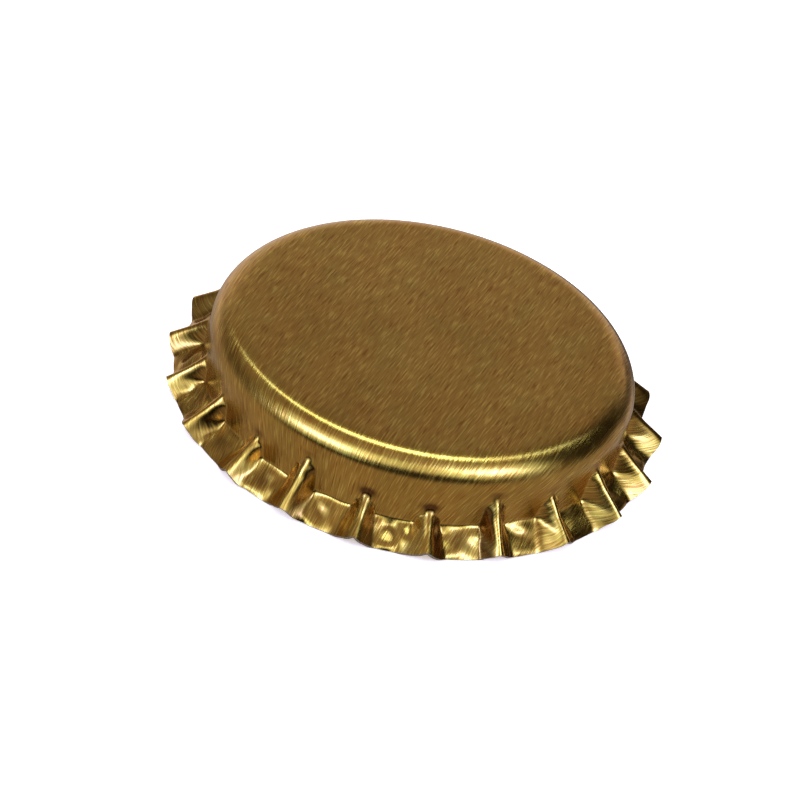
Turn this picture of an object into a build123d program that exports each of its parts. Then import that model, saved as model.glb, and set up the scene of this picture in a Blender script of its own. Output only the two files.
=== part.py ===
from build123d import *
import math
import os
import numpy as np

# Crown cap for a 26 mm bottle finish, as it leaves the press and before it is crimped.
# Frame: +Z is the cap's axis, up through the flat panel. The origin is on the axis, in the
# plane that the rim stands on. The mouth opens down. A flute's crest lies along +X.

# ---------------------------------------------------------------- driving sizes, mm
flute_count = 21
overall_height = 6.0      # standing plane to the top of the panel
wall_radius = 13.7        # outer radius of the plain wall
tip_reach = 2.35          # how far a flute's tip stands out beyond the wall
valley_reach = 1.65       # how far the rim between two flutes stands out beyond the wall
sheet = 0.235             # tinplate thickness
corner_radius = 1.9       # outer radius of the bend between panel and wall
plain_band = 0.57         # height of the plain wall between that bend and the flutes
crease_rise = 1.35        # height of the crease between wall and flare, above the rim
crease_bend = 0.22        # half height of the bend at that crease
valley_bow = 0.06         # how far the sheet between two flutes bulges, crease to rim
rib_bend = 0.45           # half height of the bend where a flute's crest meets the wall
tip_rise = 0.82           # how far the tips stand above the valleys' rim
rib_half_low = 0.46       # half width of a flute at the rim, as a share of half a pitch
rib_half_high = 0.38      # the same where the flute leaves the wall
crest_share = 0.36        # rounded part of the crest, as a share of that half width
foot_share = 0.18         # rounded part at the flute's foot, each way, in the same measure

liner_web = 0.3           # thickness of the liner's thin middle
liner_ring = 1.05         # thickness of its sealing ring
ring_gap = 1.065          # clearance from the wall's inside to the ring's crest
ring_width = 2.1          # width of the ring's crest
ring_edge = 0.35          # radius of the ring's two lower edges
ring_slope = 0.5          # how far the ring's inner side spreads as it meets the web

# ---------------------------------------------------------------- sizes that follow
half_pitch = math.pi / flute_count
flare_slope = valley_reach / crease_rise
flare_top = crease_rise + crease_bend
rim_slope = flare_slope - 6.75 * valley_bow / flare_top
rim_drop = sheet * rim_slope / math.hypot(1.0, rim_slope)
skin_height = overall_height - rim_drop   # panel height above the rim's outer edge
panel_radius = wall_radius - corner_radius
inner_radius = wall_radius - sheet
wall_top = skin_height - corner_radius
wall_foot = wall_top - plain_band
rib_rise = wall_foot - rib_bend           # where the line of a flute's crest meets the wall
rib_slope = tip_reach / (rib_rise - tip_rise)
ring_outer = inner_radius - ring_gap
ring_inner = ring_outer - ring_width


def ramp(x):
    """0 below -1 and x above 1, with a smooth bend in between."""
    mid = (x + 1.0) ** 3 * (3.0 - x) / 16.0
    return np.where(x <= -1.0, 0.0, np.where(x >= 1.0, x, mid))


def soft_abs(x, half):
    """The size of x, with its point at 0 rounded over the given half width."""
    s = x / half
    mid = half * (3.0 + 6.0 * s ** 2 - s ** 4) / 8.0
    return np.where(np.abs(x) >= half, np.abs(x), mid)


def rib(v):
    """Share of the way from valley to crest, with v 0 on the crest and 1 at the foot."""
    at = ramp((1.0 - soft_abs(v, crest_share)) / foot_share)
    top = ramp((1.0 - soft_abs(np.zeros(1), crest_share)) / foot_share)[0]
    return at / top


def rib_half_angle(z):
    """Half the angle that a flute takes at height z."""
    share = rib_half_low + (rib_half_high - rib_half_low) * z / rib_rise
    return share * half_pitch


def bulge(z):
    """The valley's bulge at height z: none at the crease and at the rim, most a third up."""
    t = np.maximum((flare_top - z) / flare_top, 0.0)
    return valley_bow * 6.75 * t ** 2 * (1.0 - t)


def skirt_radius(z, w):
    """Outer radius of the skirt at height z, w of the way from valley to crest."""
    valley = flare_slope * crease_bend * ramp((crease_rise - z) / crease_bend) + bulge(z)
    crest = rib_slope * rib_bend * ramp((rib_rise - z) / rib_bend)
    return wall_radius + (1.0 - w) * valley + w * crest


def on_rib(v, z):
    """Point of the outer skin on the flute that lies along +X."""
    r = skirt_radius(z, rib(v))
    a = v * rib_half_angle(z)
    return np.stack([r * np.cos(a), r * np.sin(a), z], axis=-1)


def in_valley(v, z):
    """Point of the outer skin in the valley after that flute, v from 0 to 1 across it."""
    r = skirt_radius(z, 0.0)
    side = (1.0 + foot_share) * rib_half_angle(z)
    a = side + v * 2.0 * (half_pitch - side)
    return np.stack([r * np.cos(a), r * np.sin(a), z], axis=-1)


def inner_skin(skin, v, z):
    """Point of the inner skin, one sheet thickness behind the outer one."""
    h = 1e-5
    across = skin(v + h, z) - skin(v - h, z)
    down = skin(v, z - h) - skin(v, z + h)
    n = np.cross(down, across)
    n /= np.linalg.norm(n, axis=-1, keepdims=True)
    return skin(v, z) - sheet * n


def bezier_net(samples):
    """Control net of the Bezier surface through a grid of samples at the two node sets."""
    net = np.array(samples)
    for axis in (0, 1):
        n = net.shape[axis] - 1
        t = nodes(n)
        base = np.array([[math.comb(n, j) * x ** j * (1 - x) ** (n - j) for j in range(n + 1)]
                         for x in t])
        net = np.moveaxis(np.tensordot(np.linalg.inv(base), net, axes=(1, axis)), 0, axis)
    return net


def nodes(n):
    """n + 1 values from 0 to 1, closer together towards both ends."""
    return np.array([0.5 - 0.5 * math.cos(math.pi * i / n) for i in range(n + 1)])


def patch(skin, v_ends, z_top, z_low):
    """Control net of the piece of a skin between two v values and two heights."""
    v = v_ends[0] + (v_ends[1] - v_ends[0]) * nodes(6)[:, None]
    top = np.broadcast_to(z_top(v), v.shape)
    low = np.broadcast_to(z_low(v), v.shape)
    z = top + (low - top) * nodes(9)[None, :]
    v = np.broadcast_to(v, z.shape)
    return bezier_net(skin(v, z))


def turned(net, flute):
    """A control net turned from the flute along +X to another flute."""
    a = 2.0 * half_pitch * flute
    turn = np.array([[math.cos(a), math.sin(a), 0.0],
                     [-math.sin(a), math.cos(a), 0.0],
                     [0.0, 0.0, 1.0]])
    return net @ turn


def bezier_face(net):
    return Face.make_bezier_surface([[Vector(*p) for p in row] for row in net.tolist()])


def inner_of(skin):
    return lambda v, z: inner_skin(skin, v, z)


def skirt_faces():
    """The fluted skirt: both skins and the sheared edge between them."""
    foot = 1.0 + foot_share
    rib_cuts = [(-foot, -crest_share), (-crest_share, crest_share), (crest_share, foot)]
    pieces = [(on_rib, cut, lambda v: tip_rise * rib(v)) for cut in rib_cuts]
    pieces.append((in_valley, (0.0, 1.0), lambda v: 0.0 * v))
    faces = []
    for skin, ends, rim in pieces:
        heights = (lambda v: wall_foot, lambda v: flare_top, rim)
        rims = []
        nets = []
        for side in (skin, inner_of(skin)):
            nets.append(patch(side, ends, heights[0], heights[1]))
            nets.append(patch(side, ends, heights[1], heights[2]))
            rims.append(nets[-1][:, -1, :])
        nets.append(np.stack(rims, axis=1))
        for flute in range(flute_count):
            faces += [bezier_face(turned(net, flute)) for net in nets]
    return faces


def plain_faces():
    """The plain wall, the bend and the flat panel: both skins, in sectors between the flutes."""
    half = rib_half_angle(wall_foot)
    foot = (1.0 + foot_share) * half
    crest = crest_share * half
    cuts = [-foot, -crest, crest, foot, 2.0 * half_pitch - foot]
    faces = []
    for shift in (0.0, sheet):
        wall_r = wall_radius - shift
        bend = ThreePointArc(
            (wall_r, 0.0, wall_top),
            (panel_radius + (corner_radius - shift) * math.sqrt(0.5), 0.0,
             wall_top + (corner_radius - shift) * math.sqrt(0.5)),
            (panel_radius, 0.0, skin_height - shift),
        )
        wall = Line((wall_r, 0.0, wall_foot), (wall_r, 0.0, wall_top))
        plane = Plane.XY.offset(skin_height - shift)
        rim_edges = []
        for flute in range(flute_count):
            for a0, a1 in zip(cuts, cuts[1:]):
                start = math.degrees(a0 + 2.0 * half_pitch * flute)
                size = math.degrees(a1 - a0)
                for profile in (wall, bend):
                    edge = profile.edge().rotate(Axis.Z, start)
                    faces.append(Face.revolve(edge, size, Axis.Z))
                arc = Edge.make_circle(panel_radius, plane, start, start + size)
                rim_edges.append(arc)
        faces.append(Face(Wire(rim_edges)))
    return faces


def make_shell():
    shell = Shell(skirt_faces() + plain_faces())
    solid = Solid(shell)
    return Pos(0, 0, rim_drop) * solid.clean()


def make_liner():
    """The liner: a disc that fills the shell's inner bend, with a ring that seals."""
    top = overall_height - sheet
    bend = corner_radius - sheet
    bend_z = top - bend
    ring_z = top - liner_ring
    web_z = top - liner_web
    meet = 50.0
    side_r = panel_radius + bend * math.sin(math.radians(meet))
    side_z = bend_z + bend * math.cos(math.radians(meet))
    with BuildSketch(Plane.XZ) as section:
        with BuildLine():
            Line((0, web_z), (0, top))
            Line((0, top), (panel_radius, top))
            ThreePointArc(
                (panel_radius, top),
                (panel_radius + bend * math.sin(math.radians(meet / 2)),
                 bend_z + bend * math.cos(math.radians(meet / 2))),
                (side_r, side_z),
            )
            Line((side_r, side_z), (ring_outer, ring_z))
            Line((ring_outer, ring_z), (ring_inner, ring_z))
            Line((ring_inner, ring_z), (ring_inner - ring_slope, web_z))
            Line((ring_inner - ring_slope, web_z), (0, web_z))
        make_face()
        low = [p for p in section.vertices() if abs(p.Z - ring_z) < 1e-6]
        fillet(low, ring_edge)
    return revolve(section.sketch, Axis.Z, 360)


os.makedirs("parts", exist_ok=True)
export_step(make_shell(), "parts/crown_shell.step")
export_step(make_liner(), "parts/liner.step")
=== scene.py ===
import math

import bpy
import numpy as np
from mathutils import Matrix, Vector


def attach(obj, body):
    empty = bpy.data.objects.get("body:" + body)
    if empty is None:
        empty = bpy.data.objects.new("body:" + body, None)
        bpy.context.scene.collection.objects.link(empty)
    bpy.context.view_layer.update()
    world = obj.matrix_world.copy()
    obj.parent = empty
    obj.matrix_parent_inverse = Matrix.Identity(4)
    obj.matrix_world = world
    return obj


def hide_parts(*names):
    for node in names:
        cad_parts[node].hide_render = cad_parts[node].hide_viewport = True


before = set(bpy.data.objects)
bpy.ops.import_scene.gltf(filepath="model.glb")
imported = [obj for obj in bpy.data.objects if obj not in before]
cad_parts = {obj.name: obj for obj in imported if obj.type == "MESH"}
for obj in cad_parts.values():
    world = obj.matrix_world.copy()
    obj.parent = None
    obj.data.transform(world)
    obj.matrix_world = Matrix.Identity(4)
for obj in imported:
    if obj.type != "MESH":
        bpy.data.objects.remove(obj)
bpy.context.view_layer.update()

MM = 0.001

# ------------------------------------------------------------------ the cap's sizes, mm
# The same formulas as the CAD shell's, with the unevenness of real pressed sheet.
FLUTES = 21
HEIGHT = 6.0
WALL_R = 13.7
TIP_REACH = 2.35
VALLEY_REACH = 1.65
SHEET = 0.235
CORNER_R = 1.9
CREASE_RISE = 1.35
CREASE_BEND = 0.22
VALLEY_BOW = 0.11        # how far the sheet between two flutes bulges
BOW_SCALE = 6.75         # makes the highest value of t * t * (1 - t) equal to 1
TIP_RISE = 0.82
PANEL_DOME = 0.10        # how far the panel stands up in its middle
LINER_RING = 1.05        # thickness of the liner's sealing ring
LINER_WEB = 0.3          # and of its middle

HALF_PITCH = math.pi / FLUTES
FLARE = VALLEY_REACH / CREASE_RISE
FLARE_TOP = CREASE_RISE + CREASE_BEND
RIM_SLOPE = FLARE - BOW_SCALE * VALLEY_BOW / FLARE_TOP
DROP = SHEET * RIM_SLOPE / math.hypot(1.0, RIM_SLOPE)
TOP = HEIGHT - DROP
PANEL_R = WALL_R - CORNER_R
WALL_TOP = TOP - CORNER_R
WALL_FOOT = WALL_TOP - 0.08     # the skirt's rows begin here, above every flute's start

rng = np.random.default_rng(21)


def per_flute(low, high, **chosen):
    """A random value for each flute, with some chosen ones: f14=3.4 sets flute 14."""
    values = rng.uniform(low, high, FLUTES)
    for key, value in chosen.items():
        values[int(key[1:])] = value
    return values


# Sizes in mm unless said. Flute 0 has its crest along +X, and the others follow anticlockwise.
rib_start = per_flute(2.5, 3.1, f0=2.9, f1=2.85, f9=2.85, f10=2.7, f11=2.65, f12=2.75, f13=2.45,
                      f14=3.3, f15=2.35, f16=2.15, f17=3.25, f18=2.75, f19=3.2, f20=2.8)
start_bend = per_flute(0.34, 0.46, f15=0.36, f16=0.34)
tip_out = TIP_REACH + per_flute(-0.04, 0.04, f0=0.12, f1=0.08, f12=0.08, f19=0.16, f20=0.12)
tip_rise = TIP_RISE + per_flute(-0.03, 0.06, f0=0.20, f1=0.20, f10=0.1, f12=0.06, f19=0.16,
                                f20=0.12)
# Widths in half pitches: of a flute's two sides at the rim, and where it leaves the wall.
width_left = per_flute(0.60, 0.70, f14=0.56, f17=0.44)
width_right = per_flute(0.48, 0.56)
width_high = per_flute(0.26, 0.31, f15=0.25, f16=0.29)
# The rounded part at a flute's foot, in the same measure as its side.
foot_left = per_flute(0.28, 0.42, f17=0.12)
foot_right = per_flute(0.22, 0.34)
# Half width of the rounded crest, radians about the cap's axis.
crest_half = per_flute(0.031, 0.037, f14=0.042, f6=0.040, f15=0.034, f16=0.040)
lean = per_flute(-0.05, 0.05)                   # of a flute to one side, in half pitches
# How far the wall swells out above a flute's start.
lead_depth = per_flute(0.10, 0.16, f15=0.25, f16=0.25)
crease_rise = CREASE_RISE + per_flute(-0.10, 0.10)
# How much painted shade darkens the gold, as a share: in the fold on each side of a flute,
# above its start and in the middle of the valley after it, where dark reflections fall.
painted_shade_left = per_flute(0.0, 0.25, f17=0.85, f16=0.1)
painted_shade_right = per_flute(0.35, 0.75, f15=0.75, f16=0.95, f17=0.95, f18=0.9)
painted_shade_head = per_flute(0.25, 0.6, f13=0.8, f15=1.9, f16=1.9, f17=0.7)
painted_shade_valley = per_flute(0.15, 0.45, f12=0.5, f13=0.55, f14=0.5, f15=0.45, f16=0.6, f17=0.4,
                        f18=0.35)

# Slight creases of the sheet between the flutes: waves round the rim and up the skirt.
WAVES = 9
wave_round = rng.uniform(16, 60, WAVES).round()      # waves in a full turn
# How fast they climb, in radians for each mm of height.
wave_up = rng.uniform(2.0, 5.5, WAVES) * rng.choice([-1.0, 1.0], WAVES)
wave_phase = rng.uniform(0.0, 2.0 * math.pi, WAVES)
wave_depth = rng.uniform(0.026, 0.048, WAVES)        # mm


def ramp(x):
    """0 below -1 and x above 1, with a smooth bend in between."""
    mid = (x + 1.0) ** 3 * (3.0 - x) / 16.0
    return np.where(x <= -1.0, 0.0, np.where(x >= 1.0, x, mid))


def soft_abs(x, half):
    """The size of x, with its point at 0 rounded over the given half width."""
    s = x / half
    mid = half * (3.0 + 6.0 * s ** 2 - s ** 4) / 8.0
    return np.where(np.abs(x) >= half, np.abs(x), mid)


def rib(v, crest, foot):
    """Share of the way from valley to crest."""
    return ramp((1.0 - soft_abs(v, crest)) / foot) * foot / (1.0 - 0.375 * crest)


def smooth(x):
    """0 to 1 in an S curve as x goes from 0 to 1."""
    x = np.clip(x, 0.0, 1.0)
    return x * x * (3.0 - 2.0 * x)


SIDE_COLS = 19          # columns of the mesh on each side of a flute
VALLEY_COLS = 10        # and across a valley
COLS = (2 * SIDE_COLS + VALLEY_COLS) * FLUTES


def columns():
    """For each column of the mesh: its flute, its place across the rib or across the valley."""
    flute, is_rib, v = [], [], []
    for j in range(FLUTES):
        for i in range(-SIDE_COLS, SIDE_COLS):
            t = i / SIDE_COLS
            flute.append(j)
            is_rib.append(True)
            v.append((1.0 + (foot_left[j] if t < 0 else foot_right[j])) * t)
        for i in range(VALLEY_COLS):
            flute.append(j)
            is_rib.append(False)
            v.append(i / VALLEY_COLS)
    return np.array(flute), np.array(is_rib), np.array(v)


FL, IS_RIB, V = columns()
NEXT = (FL + 1) % FLUTES


HEAD_SHARE = 0.16        # the part of a flute's height over which its head widens
HEAD_WIDTH = 0.60        # width of the head's point, as a share of the full width


def head(down):
    """Width of a flute near its start, as a share, with down 0 at the start and 1 at z = 0."""
    return HEAD_WIDTH + (1.0 - HEAD_WIDTH) * smooth(down / HEAD_SHARE)


def half_angle(j, z, low):
    """Half the angle of flute j at height z, on the side whose width at the rim is low."""
    down = np.clip(1.0 - z / rib_start[j], 0.0, 1.0)
    width = width_high[j] + (low[j] - width_high[j]) * down ** 1.3
    return head(down) * width * HALF_PITCH


def centre_angle(j, z):
    """Angle of flute j's middle at height z, from its even place."""
    return lean[j] * HALF_PITCH * (1.0 - z / WALL_FOOT)


SWELL_HALF = 0.030       # half width of the swell above a flute, radians
SWELL_ABOVE = 0.46       # how far above the flute's start it begins
SWELL_LONG = 0.62        # height over which it grows


def creases(a, z):
    """Depth of the sheet's waves at an angle and height."""
    phase = a[:, None] * wave_round + z[:, None] * wave_up + wave_phase
    return (wave_depth * np.sin(phase)).sum(axis=1)


def swell(a, z, j):
    """The wall's slight swell above the start of flute j, which leads into it."""
    across = (a - (FL * 2.0 * HALF_PITCH + centre_angle(j, z))) / SWELL_HALF
    down = (rib_start[j] + SWELL_ABOVE - z) / SWELL_LONG
    fade = 1.0 - smooth(0.8 * (down - 1.0))
    return lead_depth[j] * np.exp(-across ** 2) * smooth(down) * fade


def skirt(z, dv=0.0):
    """Points of the outer skin: one row of the skirt, z given for every column, mm."""
    v = V + dv
    left = v < 0.0
    side = np.where(left, half_angle(FL, z, width_left), half_angle(FL, z, width_right))
    a_rib = centre_angle(FL, z) + v * side
    a0 = centre_angle(FL, z) + (1.0 + foot_right[FL]) * half_angle(FL, z, width_right)
    a1 = (2.0 * HALF_PITCH + centre_angle(NEXT, z)
          - (1.0 + foot_left[NEXT]) * half_angle(NEXT, z, width_left))
    a_val = a0 + v * (a1 - a0)
    a = FL * 2.0 * HALF_PITCH + np.where(IS_RIB, a_rib, a_val)
    foot = np.where(left, foot_left[FL], foot_right[FL])
    narrow = head(1.0 - z / rib_start[FL])
    w = np.where(IS_RIB, rib(v, crest_half[FL] * narrow / side, foot), 0.0)
    # height of the crease: its own in each valley, and from one to the next behind a flute
    before, after = crease_rise[(FL - 1) % FLUTES], crease_rise[FL]
    share = smooth(0.5 + 0.5 * v / (1.0 + foot))
    rise = np.where(IS_RIB, before + (after - before) * share, after)
    slope = VALLEY_REACH / rise
    t = np.maximum((rise + CREASE_BEND - z) / (rise + CREASE_BEND), 0.0)
    valley = slope * CREASE_BEND * ramp((rise - z) / CREASE_BEND)
    valley = valley + VALLEY_BOW * BOW_SCALE * t ** 2 * (1.0 - t)
    # the waves begin at the crease and are slight at the rim
    valley = valley + creases(a, z) * smooth(2.5 * t) * (1.0 - 0.8 * t ** 4)
    # the bend where the flute leaves the wall, then its straight crest
    start, short = rib_start[FL], start_bend[FL]
    r_slope = tip_out[FL] / (start - tip_rise[FL])
    crest = r_slope * short * ramp((start - z) / short)
    lead = np.where(IS_RIB | (rib_start[FL] + SWELL_ABOVE > z), swell(a, z, FL), 0.0)
    r = WALL_R + (1.0 - w) * valley + w * crest + lead
    return np.stack([r * np.cos(a), r * np.sin(a), z], axis=-1)


# Painted shade above each flute's start, standing in for a dark reflection there.
SHADE_HALF = 0.034        # half width of the painted shade above a flute, radians
SHADE_ABOVE = 0.44        # how far it lies above the flute's start
SHADE_TALL = 0.27         # its half height


def painted_shade(z, points):
    """How much painted shade lies on one row of the skirt, 0 to 1: it darkens the gold beside the
    flutes, above their starts and in the valleys, where dark reflections fall.
    """
    right = smooth((V - 0.20) / 0.30) * (1.0 - smooth((V - 0.90) / 0.35)) * painted_shade_right[FL]
    left = smooth((-V - 0.20) / 0.30) * (1.0 - smooth((-V - 0.90) / 0.35)) * painted_shade_left[FL]
    beside = np.where(IS_RIB, right + left, 0.0) * smooth((rib_start[FL] - z) / 0.5)
    middle = np.where(IS_RIB, 0.0, smooth(V / 0.4) * smooth((1.0 - V) / 0.5))
    low = z / crease_rise[FL]
    middle = middle * smooth((low - 0.15) / 0.3) * smooth((0.95 - low) / 0.3) * painted_shade_valley[FL]
    angle = np.arctan2(points[:, 1], points[:, 0])
    above = np.zeros(COLS)
    for j in (FL, NEXT):
        across = angle - (j * 2.0 * HALF_PITCH + centre_angle(j, z))
        across = (across + math.pi) % (2.0 * math.pi) - math.pi
        up = (z - rib_start[j] - SHADE_ABOVE) / SHADE_TALL
        here = painted_shade_head[j] * np.exp(-(across / SHADE_HALF) ** 2 - up ** 2)
        above = np.maximum(above, here)
    return np.clip(np.maximum(beside + middle, above), 0.0, 1.0)


def rim_z():
    """Height of the rim at every column: 0 in a valley, highest at a flute's tip."""
    left = V < 0.0
    foot = np.where(left, foot_left[FL], foot_right[FL])
    side = np.where(left, half_angle(FL, 0.0, width_left), half_angle(FL, 0.0, width_right))
    return np.where(IS_RIB, tip_rise[FL] * rib(V, crest_half[FL] / side, foot), 0.0)


def skirt_rows(shares):
    """Rows of the outer skin from the foot of the plain wall (0) to the rim (1).

    With each row's normals and its painted shade.
    """
    rows, normals, shade_levels = [], [], []
    low = rim_z()
    h = 1e-4             # step by which the slopes are found
    for s in shares:
        z = WALL_FOOT + (low - WALL_FOOT) * s
        p = skirt(z)
        down = skirt(z - h) - skirt(z + h)
        along = skirt(z, h) - skirt(z, -h)
        n = np.cross(down, along)
        n /= np.linalg.norm(n, axis=-1, keepdims=True)
        rows.append(p)
        normals.append(n)
        shade_levels.append(painted_shade(z, p))
    return rows, normals, shade_levels


WALL_RING = skirt(np.full(COLS, WALL_FOOT))
WALL_ANGLES = np.arctan2(WALL_RING[:, 1], WALL_RING[:, 0])
RADIAL = np.stack([np.cos(WALL_ANGLES), np.sin(WALL_ANGLES), np.zeros(COLS)], axis=-1)
UP = np.array([0.0, 0.0, 1.0])


def ring(r, z):
    """A level ring of points, one for every column."""
    return RADIAL * r + UP * z


SKIRT_ROWS = 35          # rows of the mesh from the wall's foot to the rim
BEND_ROWS = 16           # and round the bend between panel and wall
# The sheared edge: share of the sheet's thickness, and how far it stands out there.
EDGE_PROFILE = ((0.12, 0.018), (0.5, 0.03), (0.88, 0.018))


def shell_rings():
    """The rings of the pressed shell: outer skin with its painted shade, edge, inner skin."""
    rows, normals, shade_levels = skirt_rows(np.linspace(0.0, 1.0, SKIRT_ROWS))
    outer = []
    for i in range(BEND_ROWS + 1):
        t = 0.5 * math.pi * i / BEND_ROWS
        outer.append(ring(PANEL_R + CORNER_R * math.sin(t), WALL_TOP + CORNER_R * math.cos(t)))
    # no painted shade on the panel and the bend
    shade_levels = [np.zeros(COLS)] * len(outer) + shade_levels
    outer += rows
    edge = []
    p_out, n_out = rows[-1], normals[-1]
    out_dir = rows[-1] - rows[-2]
    out_dir /= np.linalg.norm(out_dir, axis=-1, keepdims=True)
    for share, out in EDGE_PROFILE:
        edge.append(p_out - n_out * SHEET * share + out_dir * out)
    inner = [rows[i] - normals[i] * SHEET for i in range(len(rows) - 1, -1, -2)]
    c_in = CORNER_R - SHEET
    for i in range(BEND_ROWS, -1, -2):
        t = 0.5 * math.pi * i / BEND_ROWS
        inner.append(ring(PANEL_R + c_in * math.sin(t), WALL_TOP + c_in * math.cos(t)))
    return outer, shade_levels, edge, inner


class MeshMaker:
    """Collects rings of points and the faces between them."""

    def __init__(self):
        self.points, self.faces, self.mats = [], [], []
        self.count = 0
        self.blank, self.depth = [], []

    def ring(self, pts, s, depth=0.0):
        """Adds a ring. s is each point's distance from the centre on the flat blank, mm, and the
        last argument is the painted shade there.
        """
        a = np.arctan2(pts[:, 1], pts[:, 0])
        s = np.broadcast_to(s, a.shape)
        start = self.count
        self.points.append(pts)
        self.blank.append(np.stack([s * np.cos(a), s * np.sin(a)], axis=-1))
        self.depth.append(np.broadcast_to(depth, a.shape))
        self.count += len(pts)
        return list(range(start, self.count))

    def strip(self, a, b, mat=0):
        """Faces between two rings with as many points."""
        n = len(a)
        for i in range(n):
            k = (i + 1) % n
            self.faces.append((a[i], b[i], b[k], a[k]))
            self.mats.append(mat)

    def shrink(self, a, b, mat=0):
        """Faces between a ring and one with half as many points, on its inside."""
        n = len(b)
        for i in range(n):
            k = (i + 1) % n
            self.faces.append((a[2 * i], a[2 * i + 1], b[i]))
            self.faces.append((a[2 * i + 1], a[(2 * i + 2) % len(a)], b[k], b[i]))
            self.mats += [mat, mat]

    def fan(self, a, centre, mat=0):
        """Faces between a ring and one point in its middle."""
        n = len(a)
        for i in range(n):
            self.faces.append((a[i], a[(i + 1) % n], centre))
            self.mats.append(mat)


def disc(maker, ring_ids, ring_pts, z, dome, flip):
    """Fills a ring with a disc, domed a little, whose rings thin out towards the centre."""
    def moved_in(points, r):
        """The points of a ring, moved in to radius r."""
        a = np.arctan2(points[:, 1], points[:, 0])
        height = z + dome * (1.0 - (r / PANEL_R) ** 2)
        return np.stack([r * np.cos(a), r * np.sin(a), np.full(len(a), height)], axis=-1)

    pts, ids = ring_pts, ring_ids
    before = len(maker.faces)
    for r in (11.2, 10.2, 8.2):
        pts = moved_in(pts[::2], r)
        new = maker.ring(pts, r)
        maker.shrink(ids, new)
        ids = new
    for r in (6.2, 4.2, 2.2, 0.8):
        pts = moved_in(pts, r)
        new = maker.ring(pts, r)
        for i in range(len(new)):
            k = (i + 1) % len(new)
            maker.faces.append((ids[i], ids[k], new[k], new[i]))
            maker.mats.append(0)
        ids = new
    centre = maker.ring(np.array([[0.0, 0.0, z + dome]]), 0.0)[0]
    maker.fan(ids, centre)
    if flip:
        for i in range(before, len(maker.faces)):
            maker.faces[i] = tuple(reversed(maker.faces[i]))


def make_shell():
    """The shell's mesh, with its flat-blank coordinates and its painted shade."""
    outer, shade_levels, edge, inner = shell_rings()
    mk = MeshMaker()
    s = np.full(COLS, PANEL_R)
    ids_out = []
    previous = None
    for p, depth in zip(outer, shade_levels):
        if previous is not None:
            s = s + np.linalg.norm(p - previous, axis=-1)
        ids_out.append(mk.ring(p, s, depth))
        previous = p
    rim_s = s
    ids_edge = [mk.ring(p, rim_s) for p in edge]
    ids_in = []
    previous = None
    s = rim_s
    for p in inner:
        if previous is not None:
            s = s - np.linalg.norm(p - previous, axis=-1)
        ids_in.append(mk.ring(p, s))
        previous = p
    rings = ids_out + ids_edge + ids_in
    first_edge, last_edge = len(ids_out) - 1, len(ids_out) + len(edge)
    for i in range(len(rings) - 1):
        mk.strip(rings[i], rings[i + 1], 1 if first_edge <= i < last_edge else 0)
    disc(mk, ids_out[0], outer[0], TOP, PANEL_DOME, False)
    disc(mk, ids_in[-1], inner[-1], TOP - SHEET, 0.0, True)
    pts = np.concatenate(mk.points)
    pts[:, 2] += DROP
    obj = mesh_object("crown_skin", pts * MM, mk.faces, mk.mats, np.concatenate(mk.blank))
    # painted shade, kept as a point attribute for the gold's colour
    depth = obj.data.attributes.new("painted_shade", "FLOAT", "POINT")
    depth.data.foreach_set("value", np.concatenate(mk.depth).astype(np.float32))
    return obj


def mesh_object(name, pts, faces, mats, blank):
    """A smooth mesh object whose UV map holds each point's place on the flat blank, mm."""
    mesh = bpy.data.meshes.new(name)
    mesh.from_pydata(pts.tolist(), [], faces)
    mesh.polygons.foreach_set("material_index", mats)
    layer = mesh.uv_layers.new(name="blank")
    loop_vert = np.empty(len(mesh.loops), dtype=np.int32)
    mesh.loops.foreach_get("vertex_index", loop_vert)
    layer.data.foreach_set("uv", blank[loop_vert].astype(np.float32).ravel())
    mesh.polygons.foreach_set("use_smooth", [True] * len(faces))
    mesh.update()
    mesh.validate()
    obj = bpy.data.objects.new(name, mesh)
    bpy.context.collection.objects.link(obj)
    return obj


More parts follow.
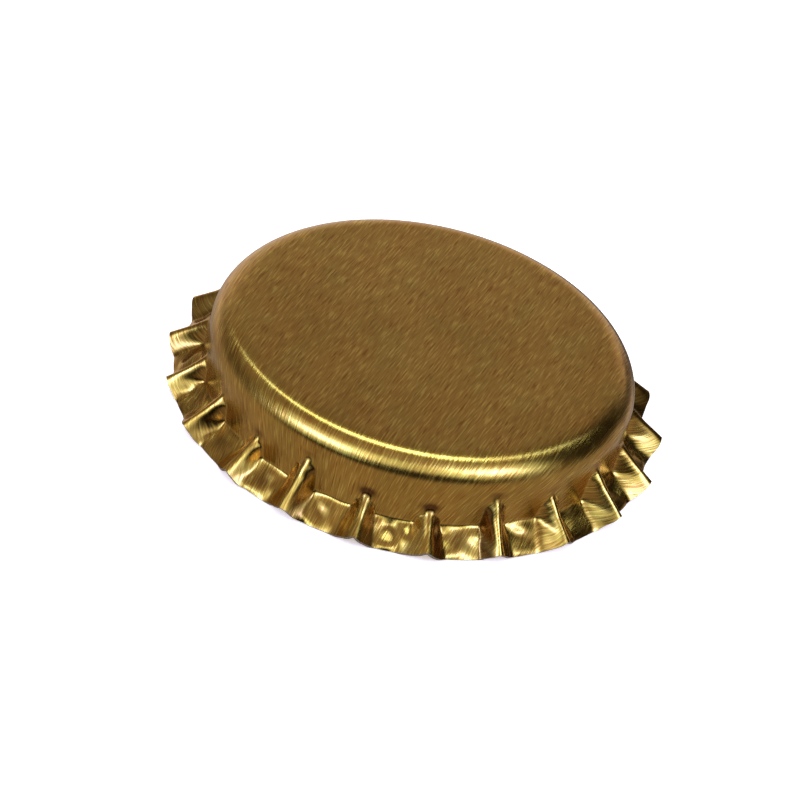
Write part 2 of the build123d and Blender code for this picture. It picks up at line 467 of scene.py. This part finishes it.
def make_liner():
    """The moulded liner: thin web, raised sealing ring, made as a turned profile."""
    top = HEIGHT - SHEET
    bend = CORNER_R - SHEET
    bend_z = top - bend
    ring_z = top - LINER_RING
    web_z = top - LINER_WEB
    edge = 0.35          # radius of the ring's two lower edges
    top_r = 11.6         # the profile starts here, inside the bend

    def arc(cx, cz, r, a0, a1, n):
        """n + 1 points of an arc, from angle a0 to a1 in degrees."""
        turns = [math.radians(a0 + (a1 - a0) * i / n) for i in range(n + 1)]
        return [(cx + r * math.cos(t), cz + r * math.sin(t)) for t in turns]

    prof = [(top_r, top)]
    for i in range(0, 9):
        t = math.radians(50.0) * i / 8
        prof.append((PANEL_R + bend * math.sin(t), bend_z + bend * math.cos(t)))
    prof += arc(12.32, ring_z + edge, edge, -28.0, -90.0, 8)
    prof += [(11.9, ring_z + 0.012), (11.4, ring_z + 0.02), (10.9, ring_z + 0.012)]
    prof += arc(10.5, ring_z + edge, edge, -90.0, -146.0, 8)
    prof += [(9.92, web_z - 0.10), (9.78, web_z - 0.03), (9.6, web_z)]
    for r in (9.0, 8.0, 7.0, 6.0, 5.0, 4.0, 3.0, 2.2, 1.7, 1.45, 1.2, 0.6):
        ripple = 0.01 * math.cos(r * 2.1)
        gate = 0.07 if r < 1.3 else 0.0      # a shallow dimple in the middle
        prof.append((r, web_z + ripple + gate))
    n = 168              # points round the liner
    pts, blank, faces = [], [], []
    for r, z in prof:
        for i in range(n):
            a = 2.0 * math.pi * i / n
            pts.append((r * math.cos(a), r * math.sin(a), z))
            blank.append((r * math.cos(a), r * math.sin(a)))
    for k in range(len(prof) - 1):
        for i in range(n):
            j = (i + 1) % n
            faces.append((k * n + i, (k + 1) * n + i, (k + 1) * n + j, k * n + j))
    last = (len(prof) - 1) * n
    pts += [(0.0, 0.0, prof[-1][1]), (0.0, 0.0, top)]
    blank += [(0.0, 0.0), (0.0, 0.0)]
    for i in range(n):
        j = (i + 1) % n
        faces.append((last + i, len(pts) - 2, last + j))
        faces.append((j, len(pts) - 1, i))
    mats = [0] * len(faces)
    return mesh_object("sealing_liner", np.array(pts) * MM, faces, mats, np.array(blank))


# ------------------------------------------------------------------ materials
class Nodes:
    """Short ways to add and join the nodes of one material or world."""

    def __init__(self, tree):
        self.tree = tree
        tree.nodes.clear()

    def add(self, kind, **sockets):
        node = self.tree.nodes.new(kind)
        for key, value in sockets.items():
            self.put(node, key, value)
        return node

    def put(self, node, key, value):
        """Links a socket to a node's input, or sets the input's value. A _ stands for a space."""
        socket = node.inputs[key.replace("_", " ") if isinstance(key, str) else key]
        if isinstance(value, bpy.types.NodeSocket):
            self.tree.links.new(value, socket)
        else:
            socket.default_value = value

    def math(self, op, a, b=None, c=None, clamp=False):
        node = self.tree.nodes.new("ShaderNodeMath")
        node.operation = op
        node.use_clamp = clamp
        for i, value in enumerate((a, b, c)):
            if value is not None:
                self.put(node, i, value)
        return node.outputs[0]

    def mix(self, factor, a, b, mode="MIX"):
        node = self.tree.nodes.new("ShaderNodeMix")
        node.data_type = "RGBA"
        node.blend_type = mode
        node.clamp_factor = True
        self.put(node, 0, factor)
        self.put(node, 6, a)
        self.put(node, 7, b)
        return node.outputs[2]

    def remap(self, value, a0, a1, b0, b1):
        """Maps a0 to b0 and a1 to b1, straight between them and level beyond."""
        node = self.tree.nodes.new("ShaderNodeMapRange")
        self.put(node, 0, value)
        for i, x in enumerate((a0, a1, b0, b1)):
            node.inputs[i + 1].default_value = x
        return node.outputs[0]

    def noise(self, vector, scale, detail=2.0, rough=0.5, distort=0.0):
        node = self.add("ShaderNodeTexNoise", Scale=scale, Detail=detail,
                        Roughness=rough, Distortion=distort)
        self.put(node, "Vector", vector)
        return node.outputs[0]

    def stretch(self, vector, scale, move=(0.0, 0.0, 0.0)):
        node = self.tree.nodes.new("ShaderNodeMapping")
        self.put(node, "Vector", vector)
        node.inputs["Scale"].default_value = scale
        node.inputs["Location"].default_value = move
        return node.outputs[0]


def new_material(name):
    """A new material and the adder for its nodes."""
    mat = bpy.data.materials.new(name)
    mat.use_nodes = True
    return mat, Nodes(mat.node_tree)


def finish_material(n, shader):
    """Joins the shader to the material's surface."""
    out = n.tree.nodes.new("ShaderNodeOutputMaterial")
    n.tree.links.new(shader.outputs[0], out.inputs["Surface"])


def gold_lacquer():
    """Brushed tinplate under a clear gold lacquer. U runs across the brush lines, V along them."""
    mat, n = new_material("gold_lacquer")
    uv = n.tree.nodes.new("ShaderNodeUVMap")
    uv.uv_map = "blank"
    at = uv.outputs[0]
    fine = n.noise(n.stretch(at, (10.0, 0.75, 1.0)), 1.0, 1.0, 0.5)
    medium = n.noise(n.stretch(at, (7.5, 0.60, 1.0), (7.3, 2.1, 0.0)), 1.0, 1.0, 0.5)
    coarse = n.noise(n.stretch(at, (1.3, 0.16, 1.0), (1.7, 9.4, 0.0)), 1.0, 2.0, 0.5)
    blotch = n.noise(n.stretch(at, (0.20, 0.12, 1.0)), 1.0, 3.0, 0.55)
    lines = n.math("ADD", n.math("MULTIPLY", fine, 0.6), n.math("MULTIPLY", medium, 0.4))
    # an even base with sparse bright and dark lines
    even = n.remap(lines, 0.22, 0.78, 0.0, 1.0)
    bright = n.remap(fine, 0.60, 0.72, 0.0, 0.85)
    dark = n.remap(medium, 0.58, 0.70, 0.0, 0.6)
    tone = n.math("SUBTRACT", n.math("ADD", even, bright), dark, clamp=True)
    color = n.mix(tone, (0.45, 0.215, 0.028, 1.0), (0.88, 0.62, 0.140, 1.0))
    patch = n.noise(n.stretch(at, (0.42, 0.26, 1.0), (3.9, 5.2, 0.0)), 1.0, 3.0, 0.6)
    warm = n.mix(n.remap(blotch, 0.35, 0.65, 0.0, 1.0),
                 (0.90, 0.85, 0.78, 1.0), (1.04, 1.04, 1.04, 1.0))
    color = n.mix(1.0, color, warm, "MULTIPLY")
    stain = n.mix(n.remap(patch, 0.38, 0.62, 0.0, 1.0),
                  (1.02, 0.965, 0.93, 1.0), (0.965, 1.0, 1.0, 1.0))
    color = n.mix(1.0, color, stain, "MULTIPLY")
    # painted shade: the gold is darker in the folds beside the flutes, above their starts and in
    # the valleys, standing in for dark reflections there
    shade_attribute = n.tree.nodes.new("ShaderNodeAttribute")
    shade_attribute.attribute_name = "painted_shade"
    # the painted shade's dark colour, multiplied into the gold
    shaded_color = n.mix(1.0, color, (0.27, 0.19, 0.17, 1.0), "MULTIPLY")
    color = n.mix(shade_attribute.outputs["Fac"], color, shaded_color)
    rough = n.remap(n.math("ADD", lines, n.math("MULTIPLY", coarse, 0.5)), 0.45, 1.05, 0.15, 0.28)
    bump = n.add("ShaderNodeBump", Strength=1.0, Distance=1.0e-5)
    height = n.math("ADD", n.math("MULTIPLY", fine, 0.6), n.math("MULTIPLY", medium, 1.2))
    n.put(bump, "Height", height)
    tangent = n.tree.nodes.new("ShaderNodeTangent")
    tangent.direction_type = "UV_MAP"
    tangent.uv_map = "blank"
    bsdf = n.add("ShaderNodeBsdfPrincipled", Metallic=1.0, Anisotropic=0.75,
                 Coat_Weight=0.35, Coat_Roughness=0.12, Coat_IOR=1.5)
    n.put(bsdf, "Base Color", color)
    n.put(bsdf, "Roughness", rough)
    n.put(bsdf, "Normal", bump.outputs[0])
    n.put(bsdf, "Tangent", tangent.outputs[0])
    finish_material(n, bsdf)
    return mat


def sheared_edge():
    """The bare cut edge of the sheet: grey steel with shear marks."""
    mat, n = new_material("sheared_edge")
    coord = n.tree.nodes.new("ShaderNodeTexCoord")
    marks = n.noise(n.stretch(coord.outputs["Object"], (9000.0, 9000.0, 2500.0)), 1.0, 3.0, 0.6)
    color = n.mix(n.remap(marks, 0.35, 0.65, 0.0, 1.0),
                  (0.30, 0.27, 0.22, 1.0), (0.62, 0.58, 0.50, 1.0))
    bump = n.add("ShaderNodeBump", Strength=1.0, Distance=4e-6)
    n.put(bump, "Height", marks)
    bsdf = n.add("ShaderNodeBsdfPrincipled", Metallic=1.0)
    n.put(bsdf, "Base Color", color)
    n.put(bsdf, "Roughness", n.remap(marks, 0.3, 0.7, 0.32, 0.55))
    n.put(bsdf, "Normal", bump.outputs[0])
    finish_material(n, bsdf)
    return mat


def liner_compound():
    """Soft off-white sealing compound, as moulded: satin, a little translucent."""
    mat, n = new_material("liner_compound")
    uv = n.tree.nodes.new("ShaderNodeUVMap")
    uv.uv_map = "blank"
    at = uv.outputs[0]
    cloud = n.noise(n.stretch(at, (0.35, 0.35, 1.0)), 1.0, 4.0, 0.6)
    grain = n.noise(n.stretch(at, (9.0, 9.0, 1.0)), 1.0, 3.0, 0.6)
    rings = n.add("ShaderNodeTexWave", Scale=0.9, Distortion=0.6, Detail=2.0)
    rings.wave_type = "RINGS"
    rings.rings_direction = "Z"
    n.put(rings, "Vector", at)
    color = n.mix(n.remap(cloud, 0.35, 0.65, 0.0, 1.0),
                  (0.70, 0.72, 0.67, 1.0), (0.82, 0.83, 0.79, 1.0))
    color = n.mix(n.remap(grain, 0.62, 0.80, 0.0, 0.5), color, (0.58, 0.58, 0.52, 1.0))
    height = n.math("ADD", n.math("MULTIPLY", rings.outputs[1], 0.6), grain)
    bump = n.add("ShaderNodeBump", Strength=1.0, Distance=6e-6)
    n.put(bump, "Height", height)
    bsdf = n.add("ShaderNodeBsdfPrincipled", IOR=1.49, Subsurface_Weight=0.25,
                 Subsurface_Scale=0.0008)
    n.put(bsdf, "Base Color", color)
    n.put(bsdf, "Roughness", n.remap(grain, 0.3, 0.7, 0.38, 0.55))
    n.put(bsdf, "Normal", bump.outputs[0])
    finish_material(n, bsdf)
    return mat


# ------------------------------------------------------------------ the pieces
BRUSH = math.radians(67.5)     # direction of the brush lines on the flat blank


def brush_uv(obj):
    """Turns the blank's coordinates so that U runs across the brush lines."""
    data = obj.data.uv_layers["blank"].data
    uv = np.empty(len(data) * 2, dtype=np.float32)
    data.foreach_get("uv", uv)
    uv = uv.reshape(-1, 2)
    c, s = math.cos(BRUSH), math.sin(BRUSH)
    turned = np.stack([uv[:, 0] * s - uv[:, 1] * c, uv[:, 0] * c + uv[:, 1] * s], axis=-1)
    data.foreach_set("uv", turned.astype(np.float32).ravel())


shell = make_shell()
brush_uv(shell)
shell.data.materials.append(gold_lacquer())
shell.data.materials.append(sheared_edge())
shell.data.set_sharp_from_angle(angle=math.radians(50.0))
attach(shell, "root")
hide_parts("crown_shell")

liner = make_liner()
liner.data.materials.append(liner_compound())
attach(liner, "root")
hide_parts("liner")

# ------------------------------------------------------------------ camera
ELEVATION = math.radians(34.95)
AZIMUTH = math.radians(-7.11)   # turn of the view about the cap's axis
ROLL = math.radians(13.79)
DISTANCE = 392.77               # from there to the camera, mm
TARGET_Z = 3.962                # height on the cap's axis that the view is set by, mm
PX_PER_MM = 15.783              # at the target, in the 800 x 800 image
FRAME_X, FRAME_Y = 22.4, -39.7  # where the target stands in the image, from its middle
IMAGE = 800.0
SENSOR = 36.0

ca, sa = math.cos(AZIMUTH), math.sin(AZIMUTH)


def turned(x, y, z):
    """A direction given as seen from the camera's side, +Y away from it, in the row frame."""
    return Vector((x * ca - y * sa, x * sa + y * ca, z))


back = turned(0.0, -math.cos(ELEVATION), math.sin(ELEVATION))
level_right = turned(1.0, 0.0, 0.0)
level_up = turned(0.0, math.sin(ELEVATION), math.cos(ELEVATION))
cam_right = level_right * math.cos(ROLL) + level_up * math.sin(ROLL)
cam_up = level_up * math.cos(ROLL) - level_right * math.sin(ROLL)
target = Vector((0.0, 0.0, TARGET_Z))
eye = target + back * DISTANCE
aim = target - cam_right * (FRAME_X / PX_PER_MM) + cam_up * (FRAME_Y / PX_PER_MM)
look = (aim - eye).normalized()
right = look.cross(cam_up).normalized()
up = right.cross(look)
cam_data = bpy.data.cameras.new("camera")
cam = bpy.data.objects.new("camera", cam_data)
bpy.context.collection.objects.link(cam)
turn = Matrix((right, up, -look)).transposed().to_4x4()
cam.matrix_world = Matrix.Translation(eye * MM) @ turn
cam_data.sensor_width = SENSOR
cam_data.lens = PX_PER_MM * DISTANCE * SENSOR / IMAGE
cam_data.clip_start = 0.01
cam_data.clip_end = 10.0
bpy.context.scene.camera = cam

# ------------------------------------------------------------------ studio
def floor_plane():
    """A wide sheet of white paper, which the metal doesn't reflect."""
    size = 1.2
    mesh = bpy.data.meshes.new("floor")
    mesh.from_pydata([(-size, -size, 0), (size, -size, 0), (size, size, 0), (-size, size, 0)],
                     [], [(0, 1, 2, 3)])
    obj = bpy.data.objects.new("floor", mesh)
    bpy.context.collection.objects.link(obj)
    mat, n = new_material("floor_paper")
    coord = n.tree.nodes.new("ShaderNodeTexCoord")
    grain = n.noise(n.stretch(coord.outputs["Object"], (300.0, 300.0, 300.0)), 1.0, 3.0, 0.6)
    color = n.mix(grain, (0.97, 0.88, 0.87, 1.0), (0.99, 0.92, 0.91, 1.0))
    bsdf = n.add("ShaderNodeBsdfPrincipled", Roughness=0.9)
    n.put(bsdf, "Base Color", color)
    n.put(bsdf, "Specular IOR Level", 0.0)
    n.put(bsdf, "Emission Color", (1.0, 1.0, 1.0, 1.0))
    n.put(bsdf, "Emission Strength", 0.35)
    finish_material(n, bsdf)
    mesh.materials.append(mat)
    obj.visible_glossy = False
    return obj


def direction(azimuth, zenith):
    """Unit vector in the row frame. Degrees: azimuth from the view's right, and zenith angle."""
    a, t = math.radians(azimuth), math.radians(zenith)
    return turned(math.sin(t) * math.cos(a), math.sin(t) * math.sin(a), math.cos(t))


def softbox(name, azimuth, zenith, distance, size, radiance):
    """A square light that faces the cap, for the floor and the liner."""
    to = direction(azimuth, zenith)
    data = bpy.data.lights.new(name, "AREA")
    data.shape = "SQUARE"
    data.size = size
    data.energy = radiance * math.pi * size * size
    obj = bpy.data.objects.new(name, data)
    bpy.context.collection.objects.link(obj)
    obj.location = to * distance
    obj.rotation_mode = "QUATERNION"
    obj.rotation_quaternion = to.to_track_quat("Z", "Y")
    obj.visible_camera = False
    obj.visible_glossy = False
    return obj


class Room(Nodes):
    """The studio as the metal reflects it: a dim room with soft light panels and dark flags."""

    def start(self):
        coord = self.tree.nodes.new("ShaderNodeTexCoord")
        self.at = coord.outputs["Generated"]

    def along(self, vector):
        """How far the looked-at direction points along a vector."""
        node = self.tree.nodes.new("ShaderNodeVectorMath")
        node.operation = "DOT_PRODUCT"
        self.put(node, 0, self.at)
        node.inputs[1].default_value = vector
        return node.outputs["Value"]

    def window(self, value, half, soft):
        """1 where the value is within half of 0, falling to 0 over soft beyond it."""
        size = self.math("ABSOLUTE", value)
        node = self.tree.nodes.new("ShaderNodeMapRange")
        node.interpolation_type = "SMOOTHSTEP"
        self.put(node, 0, size)
        for i, x in enumerate((half - soft, half + soft, 1.0, 0.0)):
            node.inputs[i + 1].default_value = x
        return node.outputs[0]

    def panel(self, azimuth, zenith, half_wide, half_high, soft):
        """A rectangle, seen from the cap, about a direction. All sizes in degrees."""
        centre = direction(azimuth, zenith)
        wide = Vector((0.0, 0.0, 1.0)).cross(centre).normalized()
        high = centre.cross(wide)
        ahead = self.math("MAXIMUM", self.along(centre), 0.001)
        x = self.math("ARCTAN2", self.along(wide), ahead)
        y = self.math("ARCTAN2", self.along(high), ahead)
        r = math.radians
        return self.math("MULTIPLY", self.window(x, r(half_wide), r(soft)),
                         self.window(y, r(half_high), r(soft)))

    def arch(self, near, curve, half, width, soft):
        """A curved strip of light overhead, open towards the back of the view."""
        up = self.math("MAXIMUM", self.along(Vector((0.0, 0.0, 1.0))), 0.001)
        x = self.math("DIVIDE", self.along(turned(1.0, 0.0, 0.0)), up)
        y = self.math("DIVIDE", self.along(turned(0.0, 1.0, 0.0)), up)
        bow = self.math("MULTIPLY_ADD", self.math("MULTIPLY", x, x), curve, near)
        across = self.window(self.math("SUBTRACT", y, bow), width, soft)
        return self.math("MULTIPLY", across, self.window(x, half, 0.25))

    def total(self, base, terms):
        """The base and each term times its weight."""
        value = base
        for term, weight in terms:
            value = self.math("MULTIPLY_ADD", term, weight, value)
        return value

    def dimmed(self, value, flags):
        """The value with each dark flag taking its share away."""
        for flag, weight in flags:
            value = self.math("MULTIPLY", value, self.math("MULTIPLY_ADD", flag, -weight, 1.0))
        return value


def studio_world():
    """What the metal reflects, and an even white light for the floor and the eye."""
    world = bpy.data.worlds.new("studio")
    world.use_nodes = True
    n = Room(world.node_tree)
    n.start()
    ramp_node = n.tree.nodes.new("ShaderNodeValToRGB")
    up = n.along(Vector((0.0, 0.0, 1.0)))
    n.put(ramp_node, 0, n.remap(up, -1.0, 1.0, 0.0, 1.0))
    stops = ramp_node.color_ramp
    # brightness from straight down (0) over the horizon (0.5) to straight up (1)
    marks = ((0.0, 0.25), (0.44, 0.25), (0.50, 0.15), (0.62, 0.14), (0.74, 0.19),
             (0.80, 0.185), (1.0, 0.17))
    while len(stops.elements) < len(marks):
        stops.elements.new(0.5)
    for el, (pos, value) in zip(stops.elements, marks):
        el.position = pos
        el.color = (value, value, value, 1.0)
    base = n.total(ramp_node.outputs[0], (
        (n.panel(90.0, 88.0, 55.0, 22.0, 16.0), 0.28),
        (n.panel(-90.0, 20.0, 42.0, 15.0, 8.0), 0.10),
    ))
    base = n.dimmed(base, ((n.panel(-88.0, 76.0, 60.0, 11.0, 6.0), 0.95),
                           (n.panel(26.0, 66.0, 27.0, 28.0, 12.0), 0.92),
                           (n.panel(158.0, 74.0, 28.0, 14.0, 12.0), 0.5),
                           (n.panel(55.0, 92.0, 14.0, 12.0, 6.0), 0.80),
                           (n.panel(76.0, 107.0, 12.0, 10.0, 6.0), 0.80)))
    core = n.total(0.0, (
        (n.panel(-134.0, 57.0, 11.0, 7.0, 5.0), 4.6),
        (n.panel(-36.0, 51.0, 11.0, 7.0, 5.0), 4.6),
    ))
    light = n.total(0.0, (
        (n.panel(-133.0, 57.0, 22.0, 20.0, 7.0), 1.1),
        (n.panel(-36.0, 52.0, 22.0, 18.0, 7.0), 1.1),
        (n.panel(-86.0, 49.0, 32.0, 12.0, 7.0), 0.75),
        (n.arch(0.14, 0.85, 0.80, 0.07, 0.05), 3.1),
        (n.panel(95.0, 8.0, 14.0, 6.0, 3.5), 3.4),
    ))
    path = n.tree.nodes.new("ShaderNodeLightPath")
    dim = n.add("ShaderNodeBackground", Color=(1.40, 1.20, 1.11, 1.0))
    n.put(dim, "Strength", base)
    lit = n.add("ShaderNodeBackground", Color=(0.75, 1.0, 1.15, 1.0))
    n.put(lit, "Strength", light)
    hot = n.add("ShaderNodeBackground", Color=(0.85, 1.05, 2.60, 1.0))
    n.put(hot, "Strength", core)
    lamps = n.tree.nodes.new("ShaderNodeAddShader")
    n.tree.links.new(lit.outputs[0], lamps.inputs[0])
    n.tree.links.new(hot.outputs[0], lamps.inputs[1])
    room = n.tree.nodes.new("ShaderNodeAddShader")
    n.tree.links.new(dim.outputs[0], room.inputs[0])
    n.tree.links.new(lamps.outputs[0], room.inputs[1])
    white = n.add("ShaderNodeBackground", Color=(1.0, 1.0, 1.0, 1.0), Strength=1.0)
    fill = n.add("ShaderNodeBackground", Color=(1.0, 1.0, 1.0, 1.0), Strength=1.4)
    pick = n.tree.nodes.new("ShaderNodeMixShader")
    n.put(pick, 0, path.outputs["Is Diffuse Ray"])
    n.tree.links.new(room.outputs[0], pick.inputs[1])
    n.tree.links.new(fill.outputs[0], pick.inputs[2])
    seen = n.tree.nodes.new("ShaderNodeMixShader")
    n.put(seen, 0, path.outputs["Is Camera Ray"])
    n.tree.links.new(pick.outputs[0], seen.inputs[1])
    n.tree.links.new(white.outputs[0], seen.inputs[2])
    out = n.tree.nodes.new("ShaderNodeOutputWorld")
    n.tree.links.new(seen.outputs[0], out.inputs["Surface"])
    bpy.context.scene.world = world


floor_plane()
softbox("box_left", -133.0, 50.0, 0.6, 0.30, 1.6)
softbox("box_right", -36.0, 50.0, 0.6, 0.30, 1.6)
softbox("box_top", 95.0, 8.0, 0.7, 0.30, 1.6)
studio_world()
bpy.context.scene.view_settings.view_transform = "Standard"
